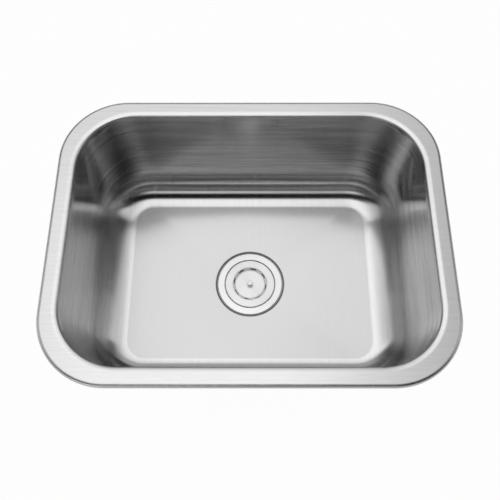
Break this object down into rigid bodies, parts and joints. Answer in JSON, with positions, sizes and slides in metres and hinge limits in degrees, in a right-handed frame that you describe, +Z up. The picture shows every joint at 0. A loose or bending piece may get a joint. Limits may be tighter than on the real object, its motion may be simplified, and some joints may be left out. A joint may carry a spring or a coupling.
{
  "type": "undermount kitchen sink",
  "caption": "Single-bowl undermount kitchen sink pressed from stainless sheet, rolled flat rim, basket strainer with lift-out plug, waste tailpiece.",
  "frame": {"origin": "middle of the rim's flat top face, which is bedded against the underside of the worktop", "axes": "+X to the right along the sink's length, +Y away from the user, +Z up, square to the rim"},
  "size_m": [0.5842, 0.4486, 0.3868],
  "materials": {
    "bowl_steel": "satin brushed grain",
    "pad_rubber": "matt moulded rubber",
    "strainer_steel": "bright turned and brushed",
    "hidden_steel": "plain mill finish",
    "seal_rubber": "smooth black rubber",
    "fibre": "dry pressed fibre",
    "nut_metal": "grey cast zinc alloy",
    "plated_brass": "bright plating",
    "washer_plastic": "milky polythene",
    "catch_plastic": "natural nylon"
  },
  "bodies": {
    "root": {"sink_bowl": "bowl_steel", "front_pad": "pad_rubber", "back_pad": "pad_rubber", "left_pad": "pad_rubber", "right_pad": "pad_rubber", "bottom_pad": "pad_rubber", "strainer_body": "strainer_steel", "flange_gasket": "seal_rubber", "sink_washer": "seal_rubber", "friction_ring": "fibre", "locknut": "nut_metal", "crossbar": "hidden_steel", "outlet_washer": "washer_plastic", "tailpiece": "plated_brass", "coupling_nut": "plated_brass"},
    "catch": {"catch_sleeve": "catch_plastic"},
    "basket": {"basket_plate": "strainer_steel", "basket_knob": "strainer_steel", "basket_post": "hidden_steel", "backing_plate": "hidden_steel", "rubber_stopper": "seal_rubber", "retaining_nut": "hidden_steel", "catch_clip": "hidden_steel"}
  },
  "joints": [
    {"name": "basket_lift", "type": "slide", "parent": "root", "child": "catch", "axis": [0, 0, 1], "range_m": [0, 0.3]},
    {"name": "basket_spin", "type": "hinge", "parent": "catch", "child": "basket", "pos_m": [0, -0.006, -0.2167], "axis": [0, 0, 1], "continuous": true}
  ]
}
